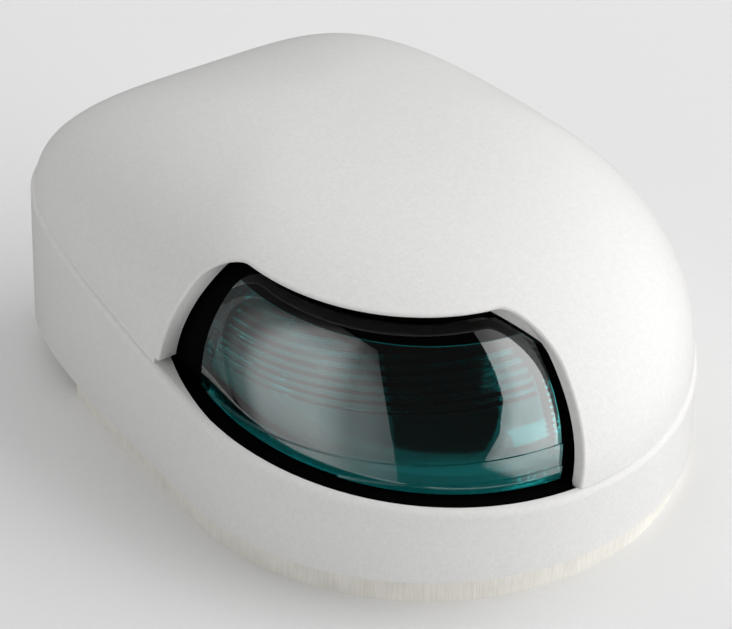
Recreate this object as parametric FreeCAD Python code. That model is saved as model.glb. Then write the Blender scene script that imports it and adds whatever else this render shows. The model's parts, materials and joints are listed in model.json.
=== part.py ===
import FreeCAD, Part
import math
import os

# Deck-mounted navigation sidelight. Millimetres, +Z up, nose of the housing towards -Y,
# lit sector on the -X (starboard) side, z = 0 at the underside of the deck gasket.

# ---- driving dimensions ----
WIDTH = 86.0                 # across the skirt at its foot
LENGTH = 112.0               # along the skirt at its foot
CROWN = 49.3                 # top of the dome above the deck
GASKET = 4.6                 # thickness of the deck gasket
NOSE_BELT = 16.2             # height of the belt line at the nose
BELT_RISE = 14.0             # how much the belt line rises from nose to back
NOSE_LENGTH = 41.8           # half axis of the elliptical nose
BACK_POWER = 5.6             # how square the back corners are, seen from above
BACK_TAPER = 0.115           # share of the width lost at the back
WALL = 3.0                   # base wall
DOME_WALL = 3.2              # cover wall
FLOOR = 3.0                  # base floor
GASKET_INSET = 1.4           # gasket edge inside the skirt's foot
GASKET_STEP_Y = 28.5         # behind this the gasket is narrower
GASKET_REAR_INSET = 6.5
GASKET_CORNER = 1.5
WALL_DRAFT = 0.35            # lean of the skirt from foot to belt
RIM_ROUND = 1.1              # round on the rim of the skirt
DOME_INSET = 0.95            # foot of the dome inside the skirt's foot
RIM_WIDTH = 1.55             # flat of the rim, measured from the skirt's foot outline
REBATE_DEPTH = 3.2           # step inside the rim for the seal and the cover's lip
SECTOR = 112.5               # lit sector, from dead ahead round to starboard

BELT_SLOPE = BELT_RISE / LENGTH
BELT_MIDDLE = NOSE_BELT + BELT_RISE / 2
FLOOR_TOP = GASKET + FLOOR
LAMP = FreeCAD.Vector(-2.0, -18.0, 0)      # upright axis of the bulb and of the sector
UP = FreeCAD.Vector(0, 0, 1)
BACK = FreeCAD.Vector(0, 1, 0)
FAR = 200.0                  # reach of a cutting block

# ---- outline and dome ----
SIDE_STEPS = 14              # points round one quarter of an outline
CROWN_Y = 15.0               # highest point of the dome
SIDE_CURVE = (2.38, 2.68)    # powers of the dome's profile across
BACK_CURVE = (1.84, 1.90)    # powers of its profile towards the back
NOSE_CURVE = (2.20, 1.90)    # powers of its profile towards the nose
BACK_SOFTEN = -1.78          # change of the back corners' power up to the crown
DOME_LEVELS = (0, .12, .25, .38, .5, .61, .71, .79, .86, .915, .955, .98, .993, .998)


def outline(half_width, back_y, nose_y, nose_length, power):
    """Points of one closed outline seen from above: elliptical nose, tapering squarish back."""
    widest_y = nose_y + nose_length
    depth = back_y - widest_y
    port = []
    for step in range(-SIDE_STEPS, SIDE_STEPS + 1):
        angle = math.pi / 2 * step / SIDE_STEPS
        across, along = math.cos(angle), math.sin(angle)
        if step <= 0:
            port.append((half_width * across, widest_y + nose_length * along))
            continue
        reach = ((abs(across) / half_width) ** power + (along / depth) ** power) ** (-1 / power)
        share = reach * along / depth
        narrowing = 1 - BACK_TAPER * share ** 1.4
        port.append((reach * across * narrowing, widest_y + reach * along))
    starboard = [(-x, y) for x, y in reversed(port[1:-1])]
    return port + starboard


def wire(points, height):
    """A smooth closed wire through points of an outline, lifted to the plane height(y)."""
    corners = [FreeCAD.Vector(x, y, height(y)) for x, y in points]
    curve = Part.BSplineCurve()
    curve.interpolate(Points=corners, PeriodicFlag=True, Parameters=STATIONS)
    return Part.Wire(curve.toShape())


def stations():
    """Share of the way round the belt outline at each of its points."""
    ring = outline(WIDTH / 2, LENGTH / 2, -LENGTH / 2, NOSE_LENGTH, BACK_POWER)
    total, marks = 0.0, [0.0]
    for here, there in zip(ring, ring[1:] + ring[:1]):
        total += math.dist(here, there)
        marks.append(total)
    return [mark / total for mark in marks]


STATIONS = stations()


def belt(drop=0.0):
    """Height of the inclined belt plane, or of one that far below it, as a function of y."""
    return lambda y: BELT_MIDDLE - drop + BELT_SLOPE * y


def level(height):
    return lambda y: height


def skirt_wire(inset, height):
    """Outline of the skirt, moved inwards, at a height."""
    points = outline(WIDTH / 2 - inset, LENGTH / 2 - inset, inset - LENGTH / 2,
                     NOSE_LENGTH - inset, BACK_POWER)
    return wire(points, height)


def dome_wire(share, inset):
    """Section of the dome at a share of the way from the belt plane to the crown."""
    side = (1 - share ** SIDE_CURVE[0]) ** (1 / SIDE_CURVE[1])
    back = (1 - share ** BACK_CURVE[0]) ** (1 / BACK_CURVE[1])
    nose = (1 - share ** NOSE_CURVE[0]) ** (1 / NOSE_CURVE[1])
    edge = DOME_INSET + inset
    top = CROWN - inset
    points = outline((WIDTH / 2 - edge) * side,
                     CROWN_Y + (LENGTH / 2 - edge - CROWN_Y) * back,
                     CROWN_Y - (LENGTH / 2 - edge + CROWN_Y) * nose,
                     (NOSE_LENGTH - edge) * nose,
                     BACK_POWER + BACK_SOFTEN * share)
    foot = belt()
    return wire(points, lambda y: foot(y) + share * (top - foot(y)))


def prism(inset, low, high):
    """Solid inside the skirt's outline between two planes."""
    return Part.makeLoft([skirt_wire(inset, low), skirt_wire(inset, high)], True, True)


def dome(inset):
    """Solid inside the dome's surface, moved inwards, down to the belt plane."""
    return Part.makeLoft([dome_wire(share, inset) for share in DOME_LEVELS], True, False)


# ---- small helpers ----
def vec(x, y, z):
    return FreeCAD.Vector(x, y, z)


def block(x0, x1, y0, y1, z0, z1):
    return Part.makeBox(x1 - x0, y1 - y0, z1 - z0, vec(x0, y0, z0))


def rod(radius, start, length, direction=UP):
    return Part.makeCylinder(radius, length, start, direction)


def tube(outer, inner, start, length, direction=UP):
    return rod(outer, start, length, direction).cut(rod(inner, start, length, direction))


def fuse(shapes):
    joined = shapes[0]
    for shape in shapes[1:]:
        joined = joined.fuse(shape)
    return joined.removeSplitter()


def rounded_plate(x0, x1, y0, y1, z0, z1, radius):
    plate = block(x0, x1, y0, y1, z0, z1)
    upright = [edge for edge in plate.Edges
               if abs(edge.Vertexes[0].Z - edge.Vertexes[-1].Z) > (z1 - z0) / 2]
    return plate.makeFillet(radius, upright)


def half_space(point, outward):
    """A large block that fills the side of a plane away from its outward normal."""
    solid = block(-FAR, FAR, -FAR, FAR, -2 * FAR, 0)
    turn = FreeCAD.Rotation(UP, outward)
    solid.Placement = FreeCAD.Placement(point, turn)
    return solid


def save(name, shapes):
    """Writes one node; a list is a node of several separate solids."""
    shape = Part.makeCompound(shapes) if isinstance(shapes, list) else shapes
    shape.exportStep(os.path.join("parts", name + ".step"))


# ---- the opening that the window, the lamp house and the lens share ----
# A jamb is a leaning plane: its place at the belt's middle height, and its lean per unit
# of height towards the opening's top corner.
AFT_JAMB = (-1.5, 0.22)      # y of the aft jamb, which leans forward
NOSE_JAMB = (-2.6, 0.117)    # x of the forward jamb, which leans to port
WINDOW_TOP = 20.1            # top of the window above the belt plane
WINDOW_AFT_ROUND = 5.5
WINDOW_NOSE_ROUND = 4.5
CORE = 12.0                  # openings start this far from the lamp axis
BELT_NORMAL = vec(0, -BELT_SLOPE, 1)


def moved(jamb, distance):
    """The same jamb, moved outwards."""
    return (jamb[0] + distance, jamb[1])


def opening(bottom, top, aft, nose, aft_round, nose_round):
    """Block between two jambs and two planes parallel to the belt, with rounded upper
    corners. Heights are above the belt plane."""
    middle = math.radians(SECTOR / 2)
    aft_outward = vec(0, 1, aft[1]).normalize()
    nose_outward = vec(1, 0, -nose[1]).normalize()
    towards = vec(-math.sin(middle), -math.cos(middle), 0)
    wedge = half_space(vec(0, 0, BELT_MIDDLE + top), BELT_NORMAL)
    for point, outward in (
        (vec(0, aft[0], BELT_MIDDLE), aft_outward),
        (vec(nose[0], 0, BELT_MIDDLE), nose_outward),
        (LAMP + towards * CORE, towards * -1),
        (vec(0, 0, BELT_MIDDLE + bottom), BELT_NORMAL * -1),
    ):
        wedge = wedge.common(half_space(point, outward))
    for outward, radius in ((aft_outward, aft_round), (nose_outward, nose_round)):
        wedge = wedge.makeFillet(radius, [top_edge(wedge, outward)])
    return wedge


def top_edge(wedge, outward):
    """The edge of an opening block between its top and the jamb that faces outward."""
    for edge in wedge.Edges:
        faces = wedge.ancestorsOfType(edge, Part.Face)
        normals = [face.normalAt(0, 0) for face in faces]
        at_top = any(normal.z > 0.9 for normal in normals)
        at_jamb = any(normal.dot(outward) > 0.99 for normal in normals)
        if at_top and at_jamb:
            return edge
    raise ValueError("the opening block has no such edge")


def window(bottom, top=WINDOW_TOP, aft_grow=0.0, nose_grow=0.0):
    """The window's opening; a low one has smaller corners."""
    most = top / 3 + 0.1
    return opening(bottom, top, moved(AFT_JAMB, aft_grow), moved(NOSE_JAMB, nose_grow),
                   min(WINDOW_AFT_ROUND, most), min(WINDOW_NOSE_ROUND, most))


# ---- lens, lamp house and their seats, as distances inside the dome's surface ----
LENS_FACE = 3.65
LENS_THICK = 2.5
LENS_STEPS = ((22.2, 3.35), (19.1, 3.05))    # top and face of each step of the lens's foot
LENS_STEP_BACK = 4.2
SEAL_THICK = 0.55
HOUSE_FACE = 3.8
HOUSE_THICK = 4.2
LENS_TOP = 17.8              # lens edges above the belt plane
LENS_FOOT = 0.15
LENS_AFT = (-8.2, 0.0)       # the lens's own jambs
LENS_NOSE = (-3.4, 0.19)
LENS_ROUND = 2.2
SEAT_LAP = 1.4               # width of the step that the lens rests on
FIT = 0.1                    # clearance round pieces that drop into a seat
RIB_COUNT = 10
RIB_LOW = 27.3               # underside of the lowest rib above the deck
RIB_PITCH = 0.98
RIB_HEIGHT = 0.5
RIB_DEPTH = 0.7


def lens_opening(shrink, bottom=LENS_FOOT):
    return opening(bottom + shrink, LENS_TOP - shrink, moved(LENS_AFT, -shrink),
                   moved(LENS_NOSE, -shrink), LENS_ROUND - shrink / 2, LENS_ROUND - shrink / 2)


def shell(outer, inner):
    return dome(outer).cut(dome(inner))


def layer(low, high):
    """Everything between two heights above the deck."""
    return block(-FAR, FAR, -FAR, FAR, low, high)


def make_lens():
    """Curved green lens: level prism ribs on its inner face, a stepped foot on its outer."""
    outline_block = lens_opening(FIT)
    pieces = [shell(LENS_FACE, LENS_FACE + LENS_THICK).common(outline_block)]
    for top, face in LENS_STEPS:
        step = shell(face, LENS_STEP_BACK).common(layer(0, top))
        pieces.append(step.common(outline_block))
    rib_shell = shell(LENS_FACE + LENS_THICK - 0.2, LENS_FACE + LENS_THICK + RIB_DEPTH)
    rib_shell = rib_shell.common(lens_opening(SEAT_LAP + 2 * FIT))
    for index in range(RIB_COUNT):
        low = RIB_LOW + index * RIB_PITCH
        pieces.append(rib_shell.common(layer(low, low + RIB_HEIGHT)))
    return fuse(pieces)


def make_lens_seal():
    start = LENS_FACE + LENS_THICK
    band = shell(start, start + SEAL_THICK)
    return band.common(lens_opening(FIT)).cut(lens_opening(SEAT_LAP))


HOUSE_AFT = 4.0              # lamp house beyond the window's jambs and top
HOUSE_NOSE = 4.0
HOUSE_TOP = 1.6
LEDGE_DROP = 0.15            # black ledge below the belt plane
LEDGE_THICK = 2.0
LEDGE_END_GAP = 0.3          # clearance of its ends from the cover's jambs
LEDGE_AFT_Y = -16.5          # behind this the ledge's edge curves inwards
LEDGE_AFT_RADIUS = 45.0
SCREEN = 2.0                 # thickness of the two light screens
SCREEN_START = 11.0          # inner ends of the screens, from the lamp axis
FOOT_THICK = 2.0             # feet of inner parts on the floor
FOOT_TOP = FLOOR_TOP + FOOT_THICK
SCREW_BODY = 1.25            # small fixing screws
SCREW_HEAD = 2.3
SCREW_HEAD_TALL = 1.6
HOUSE_FEET = (16.0, 58.0, 98.0)            # bearings of the lamp house's feet
HOUSE_FOOT_REACH = 25.5                    # their screws, from the lamp axis


def bearing(angle, reach, z=0.0):
    """A point at a bearing from dead ahead round to starboard, about the lamp axis."""
    turn = math.radians(angle)
    return vec(LAMP.x - reach * math.sin(turn), LAMP.y - reach * math.cos(turn), z)


def radial_block(angle, start, end, width, z0, z1):
    """A block that runs outwards from the lamp axis at a bearing."""
    solid = block(-width / 2, width / 2, -end, -start, z0, z1)
    solid.rotate(vec(0, 0, 0), UP, -angle)
    solid.translate(LAMP)
    return solid


def ledge_corner(grow):
    """What lies outside the ledge's curved aft corner, between the rim and the aft jamb."""
    reach = LEDGE_AFT_RADIUS + grow
    edge_x = RIM_WIDTH + FIT - WIDTH / 2
    middle = vec(edge_x + LEDGE_AFT_RADIUS, LEDGE_AFT_Y, 0)
    return block(-WIDTH / 2, 0, LEDGE_AFT_Y, 20, 0, CROWN).cut(rod(reach, middle, CROWN))


def make_lamp_house():
    """Black screen behind the window: curved wall with the lens seat, ledge and screens."""
    whole = opening(-FAR / 2, WINDOW_TOP + HOUSE_TOP, moved(AFT_JAMB, HOUSE_AFT),
                    moved(NOSE_JAMB, HOUSE_NOSE), WINDOW_AFT_ROUND, WINDOW_NOSE_ROUND)
    inner = HOUSE_FACE + HOUSE_THICK
    inner_dome = dome(inner)
    foot_inset = DOME_INSET + HOUSE_FACE
    foot_inner = DOME_INSET + inner
    curved = dome(HOUSE_FACE).cut(inner_dome).common(whole)
    lower_inside = prism(foot_inner, level(FLOOR_TOP), belt())
    lower = prism(foot_inset, level(FLOOR_TOP), belt()).cut(lower_inside).common(whole)
    ledge = prism(RIM_WIDTH + FIT, belt(LEDGE_DROP + LEDGE_THICK), belt(LEDGE_DROP))
    ledge = ledge.cut(prism(foot_inner - 1, belt(2 * LEDGE_THICK), belt(-1)))
    ledge = ledge.common(window(-FAR / 2, 1, -LEDGE_END_GAP, -LEDGE_END_GAP))
    ledge = ledge.cut(ledge_corner(0))
    inside = fuse([inner_dome, lower_inside])
    screens = [radial_block(angle, SCREEN_START, 60, SCREEN, FLOOR_TOP, CROWN).common(inside)
               .common(whole) for angle in (2.0, SECTOR - 3.0)]
    feet = [radial_block(angle, HOUSE_FOOT_REACH - 4, 34, 8, FLOOR_TOP, FOOT_TOP)
            .common(lower_inside) for angle in HOUSE_FEET]
    house = fuse([curved, lower, ledge] + screens + feet)
    pocket_depth = LENS_FACE + LENS_THICK + SEAL_THICK
    pocket = shell(LENS_FACE - 2, pocket_depth).common(lens_opening(0))
    hole = dome(pocket_depth - 0.5).common(lens_opening(SEAT_LAP))
    house = house.cut(pocket).cut(hole)
    for angle in HOUSE_FEET:
        house = house.cut(rod(SCREW_BODY, bearing(angle, HOUSE_FOOT_REACH, FLOOR_TOP - 1), 9))
    for point in fixing_points():
        house = house.cut(rod(FIX_PAD + FIT, at_height(point, FLOOR_TOP), PAD_TALL + FIT))
    return house


# ---- base ----
WEB_AFT = 3.0                # the rim's web reaches this far behind the aft jamb
FIX_X = 24.0                 # fixing holes, rectangle pattern
FIX_Y = 30.0
FIX_CENTRE_Y = 6.0
FIX_HOLE = 2.2
FIX_PAD = 5.2
PAD_TALL = 1.2
INLET = vec(22.0, 10.0, 0)   # cable inlet in the floor
INLET_NECK = 5.0
INLET_BORE = 2.6
INLET_FLANGE = 6.8
INLET_FLANGE_TALL = 1.6
REAR_SCREW_Z = 15.0          # cover screw: horizontal, through the rear wall
REAR_POCKET = 4.4            # radius of the recess for its head
REAR_POCKET_FLOOR = 52.4
REAR_PAD_FACE = 50.4         # inner face of the thickened rear wall
REAR_HOLE = 2.25
TAB_FRONT, TAB_BACK = 47.4, 50.1           # cover tab, between rear wall and nut post
TAB_HALF = 7.5
TAB_LOW = 11.0
TAB_SLOT = 2.35              # half width of its open slot
NUT_POST_BACK = 47.1
NUT_POST_FRONT = 41.0
NUT_HALF = 3.5
NUT_THICK = 3.0
NUT_BACK = 46.4
THREAD = 2.0                 # cover screw radius
THREAD_FIT = 0.05
PITCH = 0.7
TERMINALS = (vec(13.0, -11.4, 0), vec(20.0, -5.0, 0))
TERMINAL_BOSS = 4.2
INSERT_OUTER = 2.3
TERMINAL_THREAD = 1.5
HOLDER_SCREWS = (vec(-6.0, -1.5, 0), vec(-0.5, -1.5, 0))


def fixing_points():
    return [vec(sx * FIX_X, FIX_CENTRE_Y + sy * FIX_Y, 0) for sx in (-1, 1) for sy in (-1, 1)]


def at_height(point, z):
    return vec(point.x, point.y, z)


def make_base_housing():
    """White tray: floor, skirt with a rounded rim and a rebate, bosses and the nut post."""
    straight_top = belt(RIM_ROUND)
    wires = [skirt_wire(0, level(GASKET)), skirt_wire(WALL_DRAFT, straight_top)]
    tray = Part.makeLoft(wires, True, True)
    round_wires = []
    for step in range(7):
        angle = math.pi / 2 * step / 6
        inset = WALL_DRAFT + RIM_ROUND * (1 - math.cos(angle))
        round_wires.append(skirt_wire(inset, belt(RIM_ROUND * (1 - math.sin(angle)))))
    rim = Part.makeLoft(round_wires, True, False)
    tray = tray.fuse(rim)
    tray = tray.cut(prism(WALL, level(FLOOR_TOP), belt(-1)))
    tray = tray.cut(prism(RIM_WIDTH, belt(REBATE_DEPTH), belt(-1)))
    rear_pad = block(-9, 9, REAR_PAD_FACE, LENGTH / 2 - 1.5, FLOOR_TOP - 1, REAR_SCREW_Z + 8)
    nut_post = block(-6, 6, NUT_POST_FRONT, NUT_POST_BACK, FLOOR_TOP - 1, REAR_SCREW_Z + 6)
    bosses = [rod(FIX_PAD, at_height(point, FLOOR_TOP - 1), PAD_TALL + 1)
              for point in fixing_points()]
    bosses += [rod(TERMINAL_BOSS, at_height(point, FLOOR_TOP - 1), FOOT_THICK + 1)
               for point in TERMINALS]
    web = prism(RIM_WIDTH - 0.2, belt(REBATE_DEPTH), belt()).cut(
        prism(DOME_INSET + HOUSE_FACE - FIT, belt(REBATE_DEPTH + 1), belt(-1)))
    web = web.common(window(-FAR / 2, 1, WEB_AFT)).common(ledge_corner(FIT))
    tray = fuse([tray, rear_pad, nut_post, web] + bosses)
    holes = [rod(FIX_HOLE, point, 20) for point in fixing_points()]
    holes += [rod(INSERT_OUTER, at_height(point, GASKET + 0.6), 9) for point in TERMINALS]
    holes += [rod(SCREW_BODY, at_height(point, GASKET + 0.5), 9) for point in small_screws()]
    holes.append(rod(INLET_NECK, INLET, 20))
    holes.append(rod(REAR_HOLE, vec(0, 40, REAR_SCREW_Z), 20, BACK))
    holes.append(rod(REAR_POCKET, vec(0, REAR_POCKET_FLOOR, REAR_SCREW_Z), 20, BACK))
    holes.append(nut_block(0.05, 8))
    for hole in holes:
        tray = tray.cut(hole)
    return tray


def small_screws():
    house = [bearing(angle, HOUSE_FOOT_REACH) for angle in HOUSE_FEET]
    return house + list(HOLDER_SCREWS)


def nut_block(grow, extra_top):
    return block(-NUT_HALF - grow, NUT_HALF + grow, NUT_BACK - NUT_THICK - grow, NUT_BACK + grow,
                 REAR_SCREW_Z - NUT_HALF - grow, REAR_SCREW_Z + NUT_HALF + grow + extra_top)


def make_deck_gasket():
    """Foam pad, nearly flush with the skirt and narrower behind a step on each side."""
    front = prism(GASKET_INSET, level(0), level(GASKET))
    front = front.common(block(-FAR, FAR, -FAR, GASKET_STEP_Y, 0, GASKET))
    corners = [edge for edge in front.Edges
               if edge.BoundBox.ZLength > GASKET / 2 and edge.BoundBox.YMin > GASKET_STEP_Y - 0.1]
    front = front.makeFillet(GASKET_CORNER, corners)
    pad = front.fuse(prism(GASKET_REAR_INSET, level(0), level(GASKET))).removeSplitter()
    for point in fixing_points():
        pad = pad.cut(rod(FIX_HOLE, point, GASKET))
    return pad.cut(rod(INLET_FLANGE + 0.4, INLET, GASKET))


# ---- cover ----
LIP_THICK = 1.1
LIP_GAP = 0.12
LIP_DEPTH = 2.3
SEAL_TALL = 0.8
WINDOW_SOFT = 0.4            # round on the window's outer edge
JAMB_DEPTH = 2.0             # the top and the forward jamb are cut back inside this
JAMB_RELIEF = 1.3
NOTCH_TALL = 1.3             # gap under the aft jamb's foot
NOTCH_DEEP = 1.0


def soften_window(cover):
    """Rounds the window's outer edge."""
    skin = max(cover.Faces, key=lambda face: face.Area)
    edges = []
    for edge in skin.Edges:
        middle = edge.valueAt((edge.FirstParameter + edge.LastParameter) / 2)
        above = middle.z - BELT_MIDDLE - BELT_SLOPE * middle.y
        if above > 0.5 and middle.z < CROWN - 2 and len(cover.ancestorsOfType(edge, Part.Face)) == 2:
            edges.append(edge)
    return cover.makeFillet(WINDOW_SOFT, edges)


def make_cover():
    """White dome with the window, the locating lip and the slotted rear tab."""
    body = shell(0, DOME_WALL)
    lip_outer = RIM_WIDTH + LIP_GAP
    lip = prism(lip_outer, belt(LIP_DEPTH), belt(-1.0))
    lip = lip.cut(prism(lip_outer + LIP_THICK, belt(LIP_DEPTH + 1), belt(-2.0)))
    tab = block(-TAB_HALF, TAB_HALF, TAB_FRONT, TAB_BACK, TAB_LOW, 33.6)
    bridge = block(-TAB_HALF, TAB_HALF, TAB_FRONT, 52.4, 30.6, 33.6)
    cover = fuse([body, lip, tab, bridge])
    cover = soften_window(cover.cut(window(-FAR / 2)))
    relief = opening(0, WINDOW_TOP + JAMB_RELIEF, AFT_JAMB, moved(NOSE_JAMB, JAMB_RELIEF),
                     WINDOW_AFT_ROUND, WINDOW_NOSE_ROUND)
    cover = cover.cut(relief.common(dome(JAMB_DEPTH)))
    cover = cover.cut(window(-FAR / 2, NOTCH_TALL, NOTCH_DEEP))
    cover = cover.cut(window(-FAR / 2, 0, WEB_AFT + LIP_GAP))
    slot = block(-TAB_SLOT, TAB_SLOT, TAB_FRONT - 1, TAB_BACK + 1, 0, REAR_SCREW_Z)
    cover = cover.cut(slot)
    return cover.cut(rod(TAB_SLOT, vec(0, TAB_FRONT - 1, REAR_SCREW_Z), 5, BACK))


def make_cover_seal():
    low = belt(REBATE_DEPTH)
    high = belt(REBATE_DEPTH - SEAL_TALL)
    ring = prism(RIM_WIDTH, low, high)
    ring = ring.cut(prism(WALL - 0.1, belt(REBATE_DEPTH + 1), belt(REBATE_DEPTH - SEAL_TALL - 1)))
    return ring.cut(window(-FAR / 2, 1, WEB_AFT + FIT))


# ---- cover screw ----
WASHER_THICK = 0.7
WASHER_OUTER = 4.1
HEAD_RADIUS = 3.7
HEAD_TALL = 2.3
SLOT_WIDTH = 1.1
SLOT_DEEP = 1.2
SHANK_END = 44.0


def make_cover_screw():
    head_start = REAR_POCKET_FLOOR + WASHER_THICK
    shank = rod(THREAD, vec(0, SHANK_END, REAR_SCREW_Z), head_start - SHANK_END + 0.5, BACK)
    head = rod(HEAD_RADIUS, vec(0, head_start, REAR_SCREW_Z), HEAD_TALL, BACK)
    end = head_start + HEAD_TALL
    rim = [edge for edge in head.Edges if abs(edge.BoundBox.YMin - end) < 0.01
           and abs(edge.BoundBox.YMax - end) < 0.01]
    head = head.makeFillet(0.8, rim)
    drive = block(-5, 5, end - SLOT_DEEP, end + 1,
                  REAR_SCREW_Z - SLOT_WIDTH / 2, REAR_SCREW_Z + SLOT_WIDTH / 2)
    return shank.fuse(head).removeSplitter().cut(drive)


def make_cover_nut():
    nut = nut_block(0, 0)
    return nut.cut(rod(THREAD + THREAD_FIT, vec(0, 30, REAR_SCREW_Z), 30, BACK))


def make_cover_washer():
    start = vec(0, REAR_POCKET_FLOOR, REAR_SCREW_Z)
    return tube(WASHER_OUTER, THREAD + THREAD_FIT, start, WASHER_THICK, BACK)


# ---- bulb ----
CAP_RADIUS = 3.5
CAP_TALL = 4.0
CAP_WALL = 0.35
BULB_LOW = 11.2              # tip of the lower cap
BULB_LENGTH = 28.0
TIP_TALL = 1.2
GLASS_RADIUS = 5.0
GLASS_WALL = 0.6
NECK_RADIUS = 3.05
FILAMENT_HALF = 3.5
BULB_MIDDLE = BULB_LOW + BULB_LENGTH / 2


def turned(points):
    """Solid turned about the lamp axis from (radius, height) corners."""
    corners = [vec(LAMP.x + radius, LAMP.y, z) for radius, z in points]
    face = Part.Face(Part.makePolygon(corners + corners[:1]))
    return face.revolve(at_height(LAMP, 0), UP, 360)


def mirrored(shape):
    """The same piece at the other end of the bulb."""
    return shape.mirror(at_height(LAMP, BULB_MIDDLE), UP)


def make_cap():
    low = BULB_LOW
    foot = low + TIP_TALL
    inner = NECK_RADIUS + 0.02
    return turned([(0, low), (1.3, low), (CAP_RADIUS - 0.4, foot), (CAP_RADIUS, foot + 0.4),
                   (CAP_RADIUS, foot + CAP_TALL), (inner, foot + CAP_TALL),
                   (inner, foot + 1.2), (0, foot + 1.2)])


def make_glass():
    """Tubular glass, drawn in to a neck inside each cap."""
    neck_low = BULB_LOW + TIP_TALL + 1.25
    shoulder = BULB_LOW + TIP_TALL + CAP_TALL
    outer, inner = GLASS_RADIUS, GLASS_RADIUS - GLASS_WALL
    neck_inner = NECK_RADIUS - GLASS_WALL
    lower = [(NECK_RADIUS, neck_low), (NECK_RADIUS, shoulder + 0.1), (outer - 0.7, shoulder + 1.0),
             (outer, shoulder + 2.4)]
    inside = [(inner, shoulder + 2.6), (inner - 0.7, shoulder + 1.4),
              (neck_inner, shoulder + 0.6), (neck_inner, neck_low)]
    top = 2 * BULB_MIDDLE
    upper = [(r, top - z) for r, z in reversed(lower)]
    upper_inside = [(r, top - z) for r, z in reversed(inside)]
    return turned(lower + upper + upper_inside + inside)


def make_filament():
    """Upright filament between two lead wires that end in the caps."""
    lead = 0.3
    reach = BULB_MIDDLE - (BULB_LOW + TIP_TALL + 1.2)
    coil = rod(0.7, at_height(LAMP, BULB_MIDDLE - FILAMENT_HALF), 2 * FILAMENT_HALF)
    lower = rod(lead, at_height(LAMP, BULB_MIDDLE - reach), reach)
    upper = rod(lead, at_height(LAMP, BULB_MIDDLE), reach)
    return coil.fuse(lower).fuse(upper).removeSplitter()


# ---- bulb holder and contacts ----
STRIP = 0.5                  # thickness of the brass strip
STRIP_HALF = 2.2             # half the strip's width at a terminal
GRIP_TALL = 3.4              # height of a contact clip
CLIP_FIT = 0.06
ARM_FACE = LAMP.y + CAP_RADIUS + CLIP_FIT + STRIP
HOLDER_PORT = LAMP.x + 4.0
HOLDER_STARBOARD = LAMP.x - 4.2
COLUMN_FRONT = LAMP.y + GLASS_RADIUS + 2.0
COLUMN_BACK = COLUMN_FRONT + 6.0
LOWER_GRIP = BULB_LOW + TIP_TALL + 0.5
UPPER_GRIP = 2 * BULB_MIDDLE - LOWER_GRIP - GRIP_TALL
RIVET = 0.8
RIVET_LONG = 3.0


def make_bulb_holder():
    column = block(HOLDER_STARBOARD, HOLDER_PORT, COLUMN_FRONT, COLUMN_BACK, FLOOR_TOP,
                   UPPER_GRIP + GRIP_TALL)
    arms = [block(HOLDER_STARBOARD, HOLDER_PORT, ARM_FACE, COLUMN_FRONT + 1, z, z + GRIP_TALL)
            for z in (LOWER_GRIP, UPPER_GRIP)]
    foot = rounded_plate(-9, 5, COLUMN_FRONT, 1.2, FLOOR_TOP, FOOT_TOP, 1.5)
    holder = fuse([column, foot] + arms)
    for point in HOLDER_SCREWS:
        holder = holder.cut(rod(SCREW_BODY, at_height(point, FLOOR_TOP - 1), 9))
    for z in (LOWER_GRIP, UPPER_GRIP):
        holder = holder.cut(rivet_at(z))
    return holder


def rivet_at(grip_low):
    start = vec(LAMP.x - 0.5, ARM_FACE - STRIP, grip_low + GRIP_TALL / 2)
    return rod(RIVET, start, RIVET_LONG, BACK)


def make_rivets():
    return [rivet_at(z) for z in (LOWER_GRIP, UPPER_GRIP)]


def make_contact(grip_low, drop_front, drop_back, terminal):
    """One brass strip: a clip round the cap, down the holder's port face, out to a terminal."""
    z0, z1 = grip_low, grip_low + GRIP_TALL
    starboard = LAMP.x - CAP_RADIUS - 0.6
    mouth = LAMP.x + 3.0
    port = HOLDER_PORT + STRIP
    front = LAMP.y - CAP_RADIUS - CLIP_FIT
    foot_low, foot_high = FOOT_TOP, FOOT_TOP + STRIP
    near = [block(starboard - STRIP, port, ARM_FACE - STRIP, ARM_FACE, z0, z1)]
    near.append(block(starboard - STRIP, starboard, front - STRIP, ARM_FACE, z0, z1))
    near.append(block(starboard - STRIP, mouth, front - STRIP, front, z0, z1))
    near.append(block(HOLDER_PORT, port, ARM_FACE - STRIP, drop_back, z0, z1))
    near.append(block(HOLDER_PORT, port, drop_front, drop_back, foot_low, z1))
    near.append(block(HOLDER_PORT, terminal.x + 3.2, terminal.y - STRIP_HALF,
                      terminal.y + STRIP_HALF, foot_low, foot_high))
    clip = fuse(near)
    clip = clip.cut(rod(TERMINAL_THREAD + 0.1, at_height(terminal, 0), 40))
    return clip.cut(rivet_at(grip_low))


# ---- terminals ----
CLAMP = 5.6
CLAMP_THICK = 0.9
TERMINAL_HEAD = 2.6
TERMINAL_HEAD_TALL = 1.9


def make_inserts():
    low = GASKET + 0.6
    return [tube(INSERT_OUTER, TERMINAL_THREAD + 0.04, at_height(point, low), FOOT_TOP - low)
            for point in TERMINALS]


def make_clamp(point):
    low = FOOT_TOP + STRIP
    plate = rounded_plate(point.x - CLAMP / 2, point.x + CLAMP / 2, point.y - CLAMP / 2,
                          point.y + CLAMP / 2, low, low + CLAMP_THICK, 0.6)
    return plate.cut(rod(TERMINAL_THREAD + 0.06, at_height(point, 0), 40))


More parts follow.
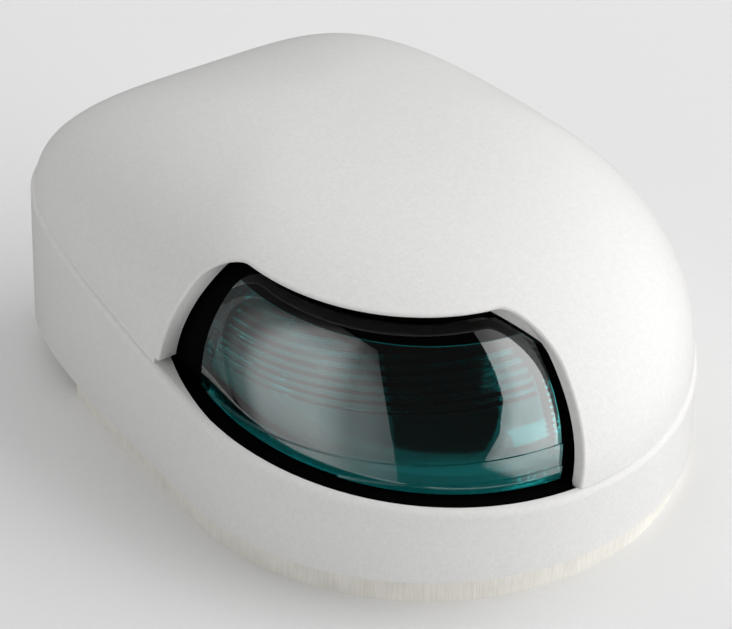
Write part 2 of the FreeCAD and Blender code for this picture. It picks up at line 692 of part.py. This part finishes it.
def slotted_screw(point, seat, body_radius, body_low, head_radius, head_tall, turn=0.0):
    """Upright cheese-head screw: its head rests at seat, its body ends at body_low."""
    body = rod(body_radius, at_height(point, body_low), seat - body_low + 0.2)
    head = rod(head_radius, at_height(point, seat), head_tall)
    rim = [edge for edge in head.Edges if abs(edge.BoundBox.ZMin - seat - head_tall) < 0.01]
    head = head.makeFillet(0.35, rim)
    slot = block(-5, 5, -0.35, 0.35, seat + head_tall * 0.5, seat + head_tall + 1)
    slot.rotate(vec(0, 0, 0), UP, turn)
    slot.translate(at_height(point, 0))
    return body.fuse(head).removeSplitter().cut(slot)


def make_terminal_screw(point, turn):
    seat = FOOT_TOP + STRIP + CLAMP_THICK
    return slotted_screw(point, seat, TERMINAL_THREAD, GASKET + 1.2, TERMINAL_HEAD,
                         TERMINAL_HEAD_TALL, turn)


def make_small_screws():
    return [slotted_screw(point, FOOT_TOP, SCREW_BODY, GASKET + 0.5, SCREW_HEAD,
                          SCREW_HEAD_TALL, 37.0 * index)
            for index, point in enumerate(small_screws())]


def make_grommet():
    """Rubber grommet: neck in the floor, a flange above and below, bore for the cable."""
    under = 1.5
    top = FLOOR_TOP + INLET_FLANGE_TALL
    parts = [rod(INLET_FLANGE, at_height(INLET, GASKET - under), under),
             rod(INLET_NECK, at_height(INLET, GASKET - under), top - GASKET + under),
             rod(INLET_FLANGE, at_height(INLET, FLOOR_TOP), INLET_FLANGE_TALL)]
    return fuse(parts).cut(rod(INLET_BORE, INLET, 30))


def main():
    os.makedirs("parts", exist_ok=True)
    save("deck_gasket", make_deck_gasket())
    save("base_housing", make_base_housing())
    save("cover", make_cover())
    save("cover_seal", make_cover_seal())
    save("lamp_house", make_lamp_house())
    save("lens", make_lens())
    save("lens_seal", make_lens_seal())
    save("cover_screw", make_cover_screw())
    save("cover_screw_washer", make_cover_washer())
    save("cover_nut", make_cover_nut())
    save("bulb_glass", make_glass())
    save("bulb_filament", make_filament())
    lower_cap = make_cap()
    save("bulb_cap_lower", lower_cap)
    save("bulb_cap_upper", mirrored(lower_cap))
    save("bulb_holder", make_bulb_holder())
    save("contact_lower", make_contact(LOWER_GRIP, ARM_FACE - STRIP, COLUMN_FRONT, TERMINALS[0]))
    save("contact_upper", make_contact(UPPER_GRIP, COLUMN_BACK - 3.6, COLUMN_BACK - 0.2,
                                       TERMINALS[1]))
    save("contact_rivets", make_rivets())
    save("terminal_inserts", make_inserts())
    for name, point, turn in (("positive", TERMINALS[0], 25), ("negative", TERMINALS[1], -40)):
        save("terminal_clamp_" + name, make_clamp(point))
        save("terminal_screw_" + name, make_terminal_screw(point, turn))
    save("fixing_screws", make_small_screws())
    save("cable_grommet", make_grommet())


main()
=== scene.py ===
import json
import math

import bpy
from mathutils import Matrix, Vector


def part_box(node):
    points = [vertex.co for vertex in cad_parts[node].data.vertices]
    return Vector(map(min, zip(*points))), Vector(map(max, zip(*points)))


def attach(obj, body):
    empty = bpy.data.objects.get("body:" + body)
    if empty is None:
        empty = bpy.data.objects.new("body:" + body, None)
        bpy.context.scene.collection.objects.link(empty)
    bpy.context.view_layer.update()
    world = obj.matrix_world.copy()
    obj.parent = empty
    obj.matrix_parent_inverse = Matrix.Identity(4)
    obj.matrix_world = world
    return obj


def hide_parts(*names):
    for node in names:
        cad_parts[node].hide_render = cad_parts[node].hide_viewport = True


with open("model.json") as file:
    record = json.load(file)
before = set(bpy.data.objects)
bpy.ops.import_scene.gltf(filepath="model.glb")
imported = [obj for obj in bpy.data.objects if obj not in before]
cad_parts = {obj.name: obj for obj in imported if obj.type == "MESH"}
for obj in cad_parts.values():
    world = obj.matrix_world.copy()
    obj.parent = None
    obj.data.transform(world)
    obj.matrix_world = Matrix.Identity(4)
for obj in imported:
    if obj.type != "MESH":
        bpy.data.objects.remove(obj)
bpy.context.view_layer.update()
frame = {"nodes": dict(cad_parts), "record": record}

MM = 0.001

# ---- camera ----
AZIMUTH = -37.75             # where the camera stands round the object, in degrees
ELEVATION = 33.47
ROLL = 1.45
DISTANCE = 426.2 * MM        # from the origin, along the line of sight
SHIFT_RIGHT = -0.575 * MM    # from that line, across and up the picture
SHIFT_UP = 13.2 * MM
FOCAL_LENGTH = 128.4         # mm, on a sensor this wide
SENSOR_WIDTH = 36.0


def placed(right, up, back, place):
    """The matrix of an object with these axes at this place."""
    return Matrix(((right.x, up.x, back.x, place.x),
                   (right.y, up.y, back.y, place.y),
                   (right.z, up.z, back.z, place.z),
                   (0, 0, 0, 1)))


def rolled(right, up, degrees):
    """Two axes turned about the third, the first one towards the second."""
    turn = math.radians(degrees)
    return (right * math.cos(turn) + up * math.sin(turn),
            up * math.cos(turn) - right * math.sin(turn))


def make_camera():
    azimuth, elevation = math.radians(AZIMUTH), math.radians(ELEVATION)
    back = Vector((math.sin(azimuth) * math.cos(elevation),
                   -math.cos(azimuth) * math.cos(elevation), math.sin(elevation)))
    level = Vector((math.cos(azimuth), math.sin(azimuth), 0))
    right, up = rolled(level, back.cross(level), ROLL)
    data = bpy.data.cameras.new("camera")
    data.lens = FOCAL_LENGTH
    data.sensor_width = SENSOR_WIDTH
    data.clip_start = 0.01
    camera = bpy.data.objects.new("camera", data)
    bpy.context.scene.collection.objects.link(camera)
    camera.matrix_world = placed(right, up, back,
                                 back * DISTANCE + right * SHIFT_RIGHT + up * SHIFT_UP)
    bpy.context.scene.camera = camera


make_camera()


# ---- studio ----
EVEN = ((0.0, 1.0), (1.0, 1.0))


def towards(bearing, elevation):
    """Direction at a bearing from dead ahead round to starboard, in degrees."""
    b, e = math.radians(bearing), math.radians(elevation)
    return Vector((-math.sin(b) * math.cos(e), -math.cos(b) * math.cos(e), math.sin(e)))


def fade(tree, along, stops):
    """Brightness along one side of a softbox, from (place, brightness) stops."""
    ramp = tree.nodes.new("ShaderNodeValToRGB")
    ramp.color_ramp.interpolation = "EASE"
    elements = ramp.color_ramp.elements
    while len(elements) < len(stops):
        elements.new(1.0)
    for element, (place, brightness) in zip(elements, stops):
        element.position = place
        element.color = (brightness, brightness, brightness, 1)
    tree.links.new(along, ramp.inputs["Fac"])
    return ramp.outputs["Color"]


def softbox(name, place, facing, size, radiance, roll=0, across=EVEN, upwards=EVEN):
    """An area light at a place, facing back along a direction, brightest where its fades say.

    Its size is in metres and its roll in degrees, and each fade runs from 0 to 1."""
    data = bpy.data.lights.new(name, "AREA")
    data.shape = "RECTANGLE"
    data.size, data.size_y = size
    data.energy = radiance * math.pi * size[0] * size[1]
    data.use_nodes = True
    tree = data.node_tree
    spot = tree.nodes.new("ShaderNodeNewGeometry").outputs["Parametric"]
    sides = tree.nodes.new("ShaderNodeSeparateXYZ")
    tree.links.new(spot, sides.inputs["Vector"])
    product = tree.nodes.new("ShaderNodeMix")
    product.data_type = "RGBA"
    product.blend_type = "MULTIPLY"
    product.inputs["Factor"].default_value = 1.0
    tree.links.new(fade(tree, sides.outputs["X"], across), product.inputs[6])
    tree.links.new(fade(tree, sides.outputs["Y"], upwards), product.inputs[7])
    tree.links.new(product.outputs[2], tree.nodes["Emission"].inputs["Color"])
    light = bpy.data.objects.new(name, data)
    light.visible_camera = False
    bpy.context.scene.collection.objects.link(light)
    level = Vector((0, 0, 1)).cross(facing).normalized()
    right, up = rolled(level, facing.cross(level), roll)
    light.matrix_world = placed(right, up, facing, place)
    return light


def make_studio():
    """Two large soft boxes, which the lens reflects on its two sides, and three smaller lights."""
    abeam = towards(83, 0)
    softbox("starboard_softbox", place=abeam * 0.6 + Vector((0, 0, 2.0)), facing=abeam,
            size=(1.2, 4.8), radiance=1.17, roll=-3,
            across=((0.0, 0.09), (0.1, 0.12), (0.25, 0.3), (0.42, 0.95), (0.62, 1.0), (0.82, 0.4),
                    (1.0, 0.25)),
            upwards=((0.0, 0.5), (0.1, 0.9), (0.25, 1.0), (0.45, 0.62), (0.7, 0.38), (1.0, 0.25)))
    aft = towards(165, 0)
    softbox("aft_softbox", place=aft * 0.6 + Vector((0, 0, 0.8)), facing=aft,
            size=(0.9, 2.4), radiance=0.11, across=((0.0, 1.0), (1.0, 0.9)))
    port = towards(-50, 19)
    softbox("port_softbox", place=port, facing=port, size=(1.6, 4.4), radiance=2.75, roll=-50,
            across=((0.0, 0.4), (0.12, 0.75), (0.35, 1.0), (0.7, 0.75), (1.0, 0.35)),
            upwards=((0.0, 0.0), (0.22, 0.45), (0.4, 0.8), (0.58, 1.0), (1.0, 0.2)))
    behind = towards(185, 55)
    rear = softbox("rear_softbox", place=behind, facing=behind, size=(1.0, 0.8), radiance=1.25)
    rear.visible_glossy = False
    ahead = towards(-22, 4)
    fill = softbox("front_fill", place=ahead, facing=ahead, size=(0.6, 0.5), radiance=2.6)
    fill.visible_glossy = False
    world = bpy.data.worlds.new("studio")
    bpy.context.scene.world = world
    world.use_nodes = True
    world.node_tree.nodes["Background"].inputs["Color"].default_value = (1, 1, 1, 1)
    world.node_tree.nodes["Background"].inputs["Strength"].default_value = 0.02
    bpy.context.scene.view_settings.view_transform = "Standard"


make_studio()


# ---- materials ----
FOOT_CLARITY = 0.7           # transmission of the lens's cloudy foot
CLOUDY_TO = 21.5 * MM        # up to this height the lens is as cloudy as its foot
CLEAR_FROM = 23.0 * MM       # and above this one it is clear
BELT_SLOPE = 0.125           # the belt line's rise towards the back, per length
TOP_SHADE_BAND = 1.4 * MM            # height of the painted shade band along the lens's top
TOP_SHADE_BAND_FADE = 0.1 * MM


def noise(tree, place, size, stretch, detail=3.0):
    """Noise with features about size millimetres across, longer where stretch is small."""
    mapping = tree.nodes.new("ShaderNodeMapping")
    mapping.inputs["Scale"].default_value = [share / (size * MM) for share in stretch]
    tree.links.new(place, mapping.inputs["Vector"])
    texture = tree.nodes.new("ShaderNodeTexNoise")
    texture.inputs["Scale"].default_value = 1.0
    texture.inputs["Detail"].default_value = detail
    tree.links.new(mapping.outputs["Vector"], texture.inputs["Vector"])
    return texture.outputs["Fac"]


def spread(tree, value, low, high, from_low=0.33, from_high=0.67):
    """Stretches a value over a range; by default one from noise, which keeps near its middle."""
    node = tree.nodes.new("ShaderNodeMapRange")
    node.inputs["From Min"].default_value = from_low
    node.inputs["From Max"].default_value = from_high
    node.inputs["To Min"].default_value = low
    node.inputs["To Max"].default_value = high
    tree.links.new(value, node.inputs["Value"])
    return node.outputs["Result"]


def average(tree, first, second):
    """The mean of two values."""
    total = tree.nodes.new("ShaderNodeMath")
    total.operation = "ADD"
    tree.links.new(first, total.inputs[0])
    tree.links.new(second, total.inputs[1])
    half = tree.nodes.new("ShaderNodeMath")
    half.operation = "MULTIPLY"
    half.inputs[1].default_value = 0.5
    tree.links.new(total.outputs[0], half.inputs[0])
    return half.outputs[0]


def bump(tree, height, relief, onto=None):
    """Relief of this many millimetres, on top of another one if there is one."""
    node = tree.nodes.new("ShaderNodeBump")
    node.inputs["Distance"].default_value = relief * MM
    tree.links.new(height, node.inputs["Height"])
    if onto is not None:
        tree.links.new(onto, node.inputs["Normal"])
    return node.outputs["Normal"]


def finish(name, dark, light, roughness, grain, relief, stretch=(1, 1, 1), cloud=15.0,
           **constants):
    """A material whose colour, gloss and relief vary with a fine grain and broad clouds.

    grain and cloud are the sizes of their spots in mm, and relief is the grain's height."""
    material = bpy.data.materials.new(name)
    material.use_nodes = True
    tree = material.node_tree
    shader = tree.nodes["Principled BSDF"]
    for key, value in constants.items():
        shader.inputs[key.replace("_", " ")].default_value = value
    place = tree.nodes.new("ShaderNodeTexCoord").outputs["Object"]
    spots = noise(tree, place, grain, stretch)
    clouds = noise(tree, place, cloud, (1, 1, 1), 5.0)
    tone = tree.nodes.new("ShaderNodeMix")
    tone.data_type = "RGBA"
    tone.inputs[6].default_value = (*dark, 1)
    tone.inputs[7].default_value = (*light, 1)
    tree.links.new(spread(tree, average(tree, spots, clouds), 0, 1), tone.inputs["Factor"])
    tree.links.new(tone.outputs[2], shader.inputs["Base Color"])
    tree.links.new(spread(tree, clouds, *roughness), shader.inputs["Roughness"])
    tree.links.new(bump(tree, spots, relief), shader.inputs["Normal"])
    return material


def cloud_foot(material):
    """Makes the lens clear, but for its thick foot, which scatters some of the light."""
    tree = material.node_tree
    place = tree.nodes.new("ShaderNodeTexCoord").outputs["Object"]
    sides = tree.nodes.new("ShaderNodeSeparateXYZ")
    tree.links.new(place, sides.inputs["Vector"])
    clear = spread(tree, sides.outputs["Z"], FOOT_CLARITY, 1.0, CLOUDY_TO, CLEAR_FROM)
    tree.links.new(clear, tree.nodes["Principled BSDF"].inputs["Transmission Weight"])


def paint_top_shade(material):
    """Paints a matt black band along the lens's top, parallel to the belt line: painted shade for
    the shadow gap under the cover's top jamb, with the coat's reflection taken off there too.
    """
    tree = material.node_tree
    shader = tree.nodes["Principled BSDF"]
    rise = Vector((0, -BELT_SLOPE, 1))
    place = tree.nodes.new("ShaderNodeTexCoord").outputs["Object"]
    level = tree.nodes.new("ShaderNodeVectorMath")
    level.operation = "DOT_PRODUCT"
    level.inputs[1].default_value = rise
    tree.links.new(place, level.inputs[0])
    top = max(point.co.dot(rise) for point in frame["nodes"]["lens"].data.vertices)
    low = top - TOP_SHADE_BAND
    # painted shade: 0 in the black band along the top, 1 below it
    unshaded = spread(tree, level.outputs["Value"], 1.0, 0.0, low, low + TOP_SHADE_BAND_FADE)
    for name in ("Base Color", "Transmission Weight"):
        kept = tree.nodes.new("ShaderNodeVectorMath")
        kept.operation = "MULTIPLY"
        tree.links.new(shader.inputs[name].links[0].from_socket, kept.inputs[0])
        tree.links.new(unshaded, kept.inputs[1])
        tree.links.new(kept.outputs["Vector"], shader.inputs[name])
    tree.links.new(unshaded, shader.inputs["Coat Weight"])


def make_materials():
    """The object's materials, by the record's slot."""
    looks = {}
    looks["white_abs"] = finish("white_abs", (0.78, 0.775, 0.76), (0.83, 0.825, 0.81),
                                roughness=(0.38, 0.46), grain=0.45, relief=0.03, cloud=0.9)
    looks["gasket_foam"] = finish("gasket_foam", (0.76, 0.74, 0.68), (0.9, 0.88, 0.82),
                                  roughness=(0.75, 0.95), grain=0.35, relief=0.06,
                                  stretch=(1, 1, 0.07), cloud=5.0)
    looks["seal_rubber"] = finish("seal_rubber", (0.012, 0.012, 0.012), (0.035, 0.034, 0.033),
                                  roughness=(0.6, 0.8), grain=0.3, relief=0.02)
    looks["black_screen"] = finish("black_screen", (0.0003, 0.0003, 0.0003), (0.001, 0.001, 0.001),
                                   roughness=(0.55, 0.75), grain=0.35, relief=0.01, cloud=7.0,
                                   Specular_IOR_Level=0.03)
    looks["green_lens"] = finish("green_lens", (0.01, 0.31, 0.31), (0.014, 0.36, 0.36),
                                 roughness=(0.0, 0.03), grain=3.0, relief=0.001, cloud=12.0,
                                 IOR=1.586, Coat_IOR=2.35, Coat_Roughness=0.02)
    cloud_foot(looks["green_lens"])
    # painted shade: a black band along the lens's top
    paint_top_shade(looks["green_lens"])
    looks["stainless"] = finish("stainless", (0.5, 0.5, 0.49), (0.66, 0.66, 0.65),
                                roughness=(0.22, 0.38), grain=0.12, relief=0.004, cloud=2.0,
                                Metallic=1.0)
    looks["nylon"] = finish("nylon", (0.7, 0.68, 0.62), (0.82, 0.81, 0.76),
                            roughness=(0.45, 0.6), grain=0.4, relief=0.01, cloud=4.0,
                            Subsurface_Weight=0.2)
    looks["bulb_glass"] = finish("bulb_glass", (0.9, 0.93, 0.93), (0.97, 0.99, 0.99),
                                 roughness=(0.0, 0.02), grain=2.0, relief=0.001, IOR=1.47,
                                 Transmission_Weight=1.0)
    looks["bulb_metal"] = finish("bulb_metal", (0.5, 0.49, 0.46), (0.72, 0.7, 0.66),
                                 roughness=(0.2, 0.4), grain=0.25, relief=0.006,
                                 stretch=(0.3, 0.3, 3), cloud=1.5, Metallic=1.0)
    looks["tungsten"] = finish("tungsten", (0.12, 0.12, 0.12), (0.25, 0.24, 0.23),
                               roughness=(0.35, 0.5), grain=0.1, relief=0.004, cloud=1.0,
                               Metallic=1.0)
    looks["contact_brass"] = finish("contact_brass", (0.55, 0.38, 0.13), (0.78, 0.6, 0.27),
                                    roughness=(0.22, 0.42), grain=0.15, relief=0.004,
                                    stretch=(0.15, 1, 1), cloud=3.0, Metallic=1.0)
    looks["holder_plastic"] = finish("holder_plastic", (0.02, 0.02, 0.02), (0.045, 0.044, 0.042),
                                     roughness=(0.4, 0.6), grain=0.4, relief=0.015, cloud=5.0)
    return looks


LOOKS = make_materials()
for row in frame["record"]["subparts"]:
    slots = frame["nodes"][row["node"]].data.materials
    slots.clear()
    slots.append(LOOKS[row["material_slot"]])


# ---- bulb filament ----
COIL_TURNS = 15
COIL_HALF = 3.4 * MM         # half the coil's height
COIL_RADIUS = 0.58 * MM
LEAD_GAP = 3 * COIL_RADIUS   # where the leads start to bend into the coil
WIRE_RADIUS = 0.1 * MM
WIRE_SIDES = 8
STEPS_PER_TURN = 20
OFF_AXIS = Vector((0.6, 0.35, 0.72))    # never along the wire


def tube_mesh(name, path):
    """A round wire that follows a path, closed at both ends."""
    points, faces = [], []
    for index, here in enumerate(path):
        before, after = path[max(index - 1, 0)], path[min(index + 1, len(path) - 1)]
        along = (after - before).normalized()
        across = along.cross(OFF_AXIS).normalized()
        other = along.cross(across)
        for side in range(WIRE_SIDES):
            angle = 2 * math.pi * side / WIRE_SIDES
            spoke = across * math.cos(angle) + other * math.sin(angle)
            points.append(here + spoke * WIRE_RADIUS)
    for ring in range(len(path) - 1):
        low, high = ring * WIRE_SIDES, (ring + 1) * WIRE_SIDES
        for side in range(WIRE_SIDES):
            beside = (side + 1) % WIRE_SIDES
            faces.append((low + side, low + beside, high + beside, high + side))
    last = (len(path) - 1) * WIRE_SIDES
    faces.append(tuple(reversed(range(WIRE_SIDES))))
    faces.append(tuple(last + side for side in range(WIRE_SIDES)))
    mesh = bpy.data.meshes.new(name)
    mesh.from_pydata(points, [], faces)
    mesh.polygons.foreach_set("use_smooth", [True] * len(faces))
    mesh.update()
    return mesh


def make_filament():
    """Two straight leads, drawn out to an upright coil between them."""
    low, high = (Vector(corner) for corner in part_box("bulb_filament"))
    middle = (low + high) / 2
    lead = Vector((0, 0, COIL_HALF + LEAD_GAP))
    path = [Vector((middle.x, middle.y, low.z)), middle - lead]
    steps = COIL_TURNS * STEPS_PER_TURN
    for step in range(steps + 1):
        angle = 2 * math.pi * step / STEPS_PER_TURN
        rise = 2 * COIL_HALF * step / steps - COIL_HALF
        path.append(middle + Vector((COIL_RADIUS * math.cos(angle),
                                     COIL_RADIUS * math.sin(angle), rise)))
    path += [middle + lead, Vector((middle.x, middle.y, high.z))]
    filament = bpy.data.objects.new("filament_coil", tube_mesh("filament_coil", path))
    bpy.context.scene.collection.objects.link(filament)
    filament.data.materials.append(LOOKS["tungsten"])
    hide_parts("bulb_filament")
    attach(filament, "bulb")


make_filament()


# ---- floor ----
FLOOR_WIDTH = 8              # metres


def make_floor():
    bpy.ops.mesh.primitive_plane_add(size=FLOOR_WIDTH)
    floor = bpy.context.object
    floor.name = "floor"
    floor.data.materials.append(finish("floor_paper", (0.86, 0.86, 0.86), (0.88, 0.88, 0.88),
                                       roughness=(0.85, 0.95), grain=1.0, relief=0.01,
                                       cloud=300.0))
    floor.visible_glossy = False


make_floor()
